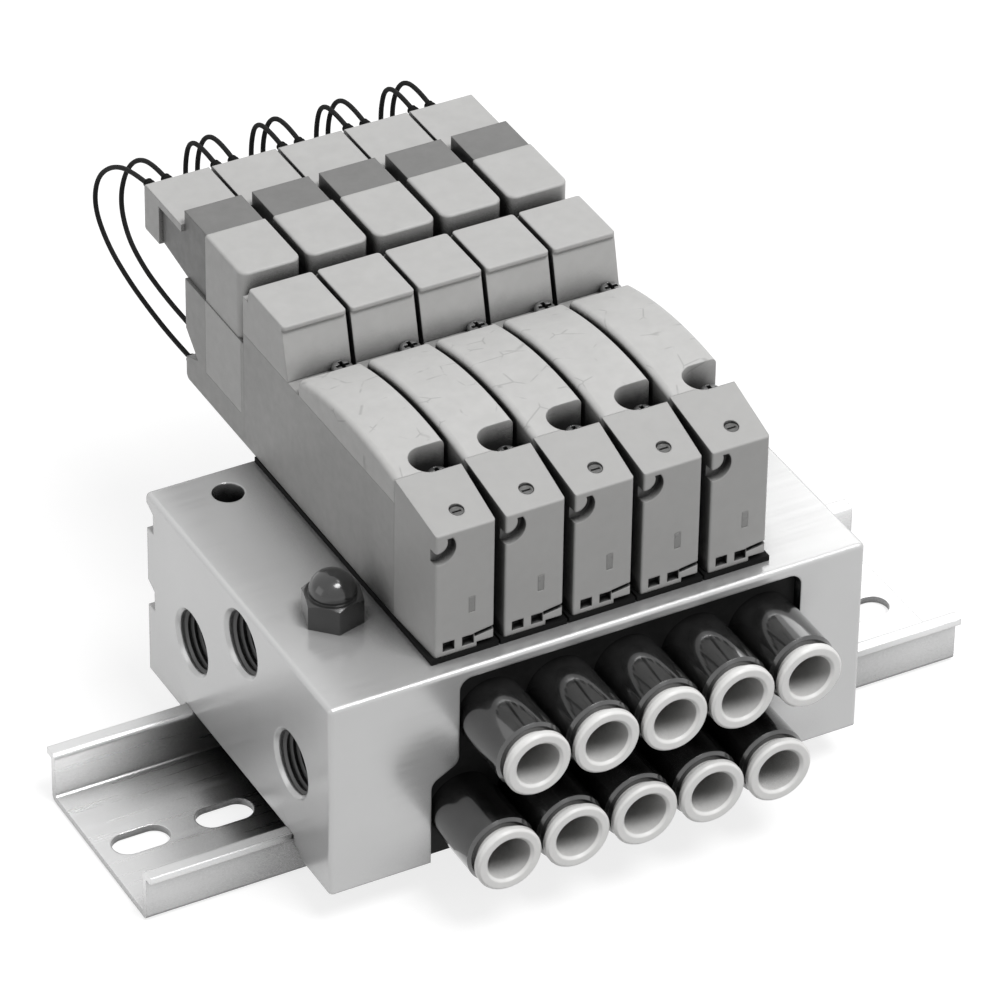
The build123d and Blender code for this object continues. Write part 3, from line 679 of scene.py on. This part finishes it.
# drawn and rolled metals, whose fine lines run along X
extrudedAluminium = {
    "level": 0.62,
    "spread": 0.025,
    "metallic": 0.44,
    "roughness": (0.18, 0.27),
    "cloudNoise": (45.0, 5.0),
    "lineNoise": (40.0, 3.0),
    "lineStretch": (1.0, 60.0, 60.0),
    "lineStrength": 0.25,
    "lineDepth": 0.00001,
    "edgeRadius": 0.0004,
    "edgeGain": 1.5,
    "edgeHighlightGrey": 0.85,
    "gap": (0.012, 0.18, 0.68, 0.008),
}
platedRail = {
    "level": 0.78,
    "spread": 0.015,
    "metallic": 0.85,
    "roughness": (0.24, 0.4),
    "cloudNoise": (60.0, 3.0),
    "lineNoise": (30.0, 3.0),
    "lineStretch": (1.0, 45.0, 45.0),
    "lineStrength": 0.08,
    "lineDepth": 0.00001,
    "edgeRadius": 0.0003,
    "edgeGain": 1.5,
    "edgeHighlightGrey": 0.8,
    "gap": (0.018, 0.2, 0.8, 0.03),
}


def drawnMetal(name, part):
    low, high = part["roughness"]
    material = newMaterial(name, part["level"], high, metallic=part["metallic"])
    cloud = noise(material, *part["cloudNoise"])
    colour = around(material, cloud, part["level"], part["spread"])
    # painted highlight: the edges are lightened towards a pale grey
    edgeHighlight = edgeShare(material, part["edgeRadius"], part["edgeGain"])
    colour = mixColour(material, edgeHighlight, colour, grey(part["edgeHighlightGrey"]))
    feed(material, "Base Color", gapShade(material, colour, *part["gap"]))
    lines = noise(material, *part["lineNoise"], part["lineStretch"])
    feed(material, "Roughness", ramp(material, lines, grey(low), grey(high)))
    edge = softEdge(material, part["edgeRadius"])
    feed(material, "Normal",
         bump(material, lines, part["lineStrength"], part["lineDepth"], edge))
    return material


smallMetal = {
    "metallic": 0.9,
    "cloudNoise": (700.0, 3.0),
    "cloudGain": (0.9, 1.1),
    "polishSpread": 0.06,
    "edgeRadius": 0.00015,
    "gap": (0.003, 0.1, 0.5, 0.02),
}


def plainMetal(name, level, roughness):
    part = smallMetal
    low, high = part["cloudGain"]
    material = newMaterial(name, level, roughness, metallic=part["metallic"])
    cloud = noise(material, *part["cloudNoise"])
    colour = ramp(material, cloud, grey(level * low), grey(level * high))
    feed(material, "Base Color", gapShade(material, colour, *part["gap"]))
    feed(material, "Roughness", around(material, cloud, roughness, part["polishSpread"]))
    feed(material, "Normal", softEdge(material, part["edgeRadius"]))
    return material


blackShell = {
    "level": 0.02,
    "spread": 0.005,
    "roughness": (0.14, 0.26),
    "specular": 0.6,
    "coatRoughness": 0.08,
    "coatIor": 1.7,
    "cloudNoise": (500.0, 3.0),
    "waveNoise": (260.0, 2.0),
    "waveStretch": (1.0, 0.4, 1.0),
    "waveStrength": 0.3,
    "waveDepth": 0.0002,
    "edgeRadius": 0.00025,
    "gap": (0.008, 0.12, 0.6, 0.004),
}


def blackGloss(name, coat):
    # black under a clear gloss: it stays dark and shows streaks of what it mirrors
    part = blackShell
    low, high = part["roughness"]
    material = newMaterial(name, part["level"], high, specular=part["specular"])
    shader = material.node_tree.nodes["Principled BSDF"]
    shader.inputs["Coat Weight"].default_value = coat
    shader.inputs["Coat Roughness"].default_value = part["coatRoughness"]
    shader.inputs["Coat IOR"].default_value = part["coatIor"]
    cloud = noise(material, *part["cloudNoise"])
    colour = around(material, cloud, part["level"], part["spread"])
    feed(material, "Base Color", gapShade(material, colour, *part["gap"]))
    feed(material, "Roughness", ramp(material, cloud, grey(low), grey(high)))
    waves = noise(material, *part["waveNoise"], part["waveStretch"])
    edge = softEdge(material, part["edgeRadius"])
    feed(material, "Normal",
         bump(material, waves, part["waveStrength"], part["waveDepth"], edge))
    return material


roughBlack = {
    "specular": 0.2,
    "cloudNoise": (900.0, 3.0),
    "cloudGain": (0.7, 1.4),
    "grainNoise": (4000.0, 2.0),
    "grainStrength": 0.3,
    "grainDepth": 0.00002,
}


def mattBlack(name, level, roughness):
    part = roughBlack
    low, high = part["cloudGain"]
    material = newMaterial(name, level, roughness, specular=part["specular"])
    cloud = noise(material, *part["cloudNoise"])
    feed(material, "Base Color", ramp(material, cloud, grey(level * low), grey(level * high)))
    grain = noise(material, *part["grainNoise"])
    feed(material, "Normal", bump(material, grain, part["grainStrength"], part["grainDepth"]))
    return material


ringPlastic = {
    "levels": (0.91, 0.95),
    "roughness": 0.3,
    "specular": 0.9,
    "cloudNoise": (800.0, 3.0),
    "grainNoise": (5200.0, 2.0),
    "grainStrength": 0.2,
    "grainDepth": 0.00002,
    "edgeRadius": 0.0003,
    "gap": (0.008, 0.02, 0.5, 0.1),
}


def ringWhite(name):
    part = ringPlastic
    low, high = part["levels"]
    material = newMaterial(name, low, part["roughness"], specular=part["specular"])
    colour = ramp(material, noise(material, *part["cloudNoise"]), warm(low), warm(high))
    feed(material, "Base Color", gapShade(material, colour, *part["gap"]))
    grain = noise(material, *part["grainNoise"])
    edge = softEdge(material, part["edgeRadius"])
    feed(material, "Normal",
         bump(material, grain, part["grainStrength"], part["grainDepth"], edge))
    return material


materials = {
    "rail_steel": drawnMetal("brightZinc", platedRail),
    "manifold_aluminium": drawnMetal("satinAluminium", extrudedAluminium),
    "clamp_steel": plainMetal("clampSteel", 0.5, 0.4),
    "nut_black": blackGloss("nutBlack", 0.25),
    "end_plug_steel": plainMetal("endPlugSteel", 0.55, 0.35),
    "plate_black": mattBlack("plateBlack", 0.008, 0.6),
    "fitting_black": blackGloss("fittingBlack", 1.0),
    "ring_white": ringWhite("ringWhite"),
    "seal_rubber": mattBlack("sealRubber", 0.002, 0.8),
    "collet_steel": plainMetal("colletSteel", 0.6, 0.3),
    "body_grey": plastic("bodyGrey", 0.41, 0.03, 0.5),
    "cap_grey": plastic("capGrey", 0.46, 0.015, 0.45, gap=(0.0022, 0.42, 0.92, 0.012)),
    "cover_grey": plastic("coverGrey", 0.57, 0.03, 0.5, 0.3, gap=(0.006, 0.2, 0.8, 0.012)),
    "pilot_grey": plastic("pilotGrey", 0.51, 0.025, 0.45),
    "housing_dark": plastic("housingDark", 0.2, 0.015, 0.45),
    "button_grey": plastic("buttonGrey", 0.16, 0.02, 0.4),
    "lens_grey": plastic("lensGrey", 0.3, 0.02, 0.3),
    "spool_aluminium": plainMetal("spoolAluminium", 0.7, 0.3),
    "screw_steel": plainMetal("screwSteel", 0.25, 0.35),
    "wire_black": mattBlack("wireBlack", 0.01, 0.8),
}
threadShadeMetal = plainMetal("threadShadeMetal", 0.1, 0.5)  # painted shade: a darker metal than the manifold's, for the shade inside the ports


def dress(piece, material):
    piece.data.materials.clear()
    piece.data.materials.append(material)


for entry in frame["record"]["subparts"]:
    dress(nodes[entry["node"]], materials[entry["material_slot"]])
for piece, slot in made:
    dress(piece, threadShadeMetal if piece.name.startswith("portThread") else materials[slot])
print("materials:", len(materials))

# floor, lamps and world: lengths in metres
studio = {
    "floorSize": 6.0,
    "floorDrop": 0.0002,
    "floorLevel": 0.3,  # the object is lit by this grey
    "floorLift": 0.8,  # what the camera and mirrored rays see is lifted to white by this
    "worldLevel": 0.32,  # lights the object; the camera, mirrors and glass see white
    "sunStrength": 1.9,
    "sunFrom": (0.16, -0.4, 0.9),
    "sunAngle": 24.0,  # degrees
    "softboxes": (
        # name, place, size, power
        ("rearSoftbox", (0.26, 0.22, 0.25), 0.16, 0.12),
        ("topSoftbox", (0.2, 0.0, 0.5), 0.16, 0.25),
        ("leftSoftbox", (-0.5, 0.05, 0.18), 0.3, 0.24),
    ),
}


def combine(tree, operation, first, second):
    node = tree.nodes.new("ShaderNodeMath")
    node.operation = operation
    tree.links.new(first, node.inputs[0])
    if isinstance(second, float):
        node.inputs[1].default_value = second
    else:
        tree.links.new(second, node.inputs[1])
    return node.outputs[0]


def addFloor():
    deselectAll()
    bpy.ops.mesh.primitive_plane_add(
        size=studio["floorSize"], location=(0, 0, -studio["floorDrop"]))
    floor = bpy.context.object
    floor.name = "floor"
    material = bpy.data.materials.new("floorPale")
    material.use_nodes = True
    tree = material.node_tree
    tree.nodes.clear()
    output = tree.nodes.new("ShaderNodeOutputMaterial")
    add = tree.nodes.new("ShaderNodeAddShader")
    diffuse = tree.nodes.new("ShaderNodeBsdfDiffuse")
    diffuse.inputs["Color"].default_value = (*grey(studio["floorLevel"]), 1)
    glow = tree.nodes.new("ShaderNodeEmission")
    path = tree.nodes.new("ShaderNodeLightPath").outputs
    sight = combine(tree, "MAXIMUM", path["Is Camera Ray"], path["Is Glossy Ray"])
    lift = combine(tree, "MULTIPLY", sight, studio["floorLift"])
    tree.links.new(lift, glow.inputs["Strength"])
    tree.links.new(diffuse.outputs[0], add.inputs[0])
    tree.links.new(glow.outputs[0], add.inputs[1])
    tree.links.new(add.outputs[0], output.inputs["Surface"])
    floor.data.materials.append(material)


def addLamps():
    lamp = bpy.data.lights.new("keyLamp", "SUN")
    lamp.energy = studio["sunStrength"]
    lamp.angle = math.radians(studio["sunAngle"])
    sun = bpy.data.objects.new("keyLamp", lamp)
    sun.rotation_euler = Vector(studio["sunFrom"]).to_track_quat("Z", "Y").to_euler()
    bpy.context.scene.collection.objects.link(sun)
    target = Vector(camera["target"]) * mm
    for name, place, size, power in studio["softboxes"]:
        data = bpy.data.lights.new(name, "AREA")
        data.shape = "SQUARE"
        data.size = size
        data.energy = power
        box = bpy.data.objects.new(name, data)
        box.location = place
        box.rotation_euler = (Vector(place) - target).to_track_quat("Z", "Y").to_euler()
        bpy.context.scene.collection.objects.link(box)


def setWorld():
    world = bpy.data.worlds.new("studio")
    world.use_nodes = True
    tree = world.node_tree
    background = tree.nodes["Background"]
    background.inputs["Color"].default_value = (1, 1, 1, 1)
    path = tree.nodes.new("ShaderNodeLightPath").outputs
    sight = combine(tree, "MAXIMUM", path["Is Camera Ray"], path["Is Transmission Ray"])
    seen = combine(tree, "MAXIMUM", sight, path["Is Glossy Ray"])
    level = combine(tree, "MAXIMUM", seen, studio["worldLevel"])
    tree.links.new(level, background.inputs["Strength"])
    bpy.context.scene.world = world


addFloor()
addLamps()
setWorld()
bpy.context.scene.view_settings.view_transform = "Standard"
print("studio set")

bpy.context.view_layer.update()
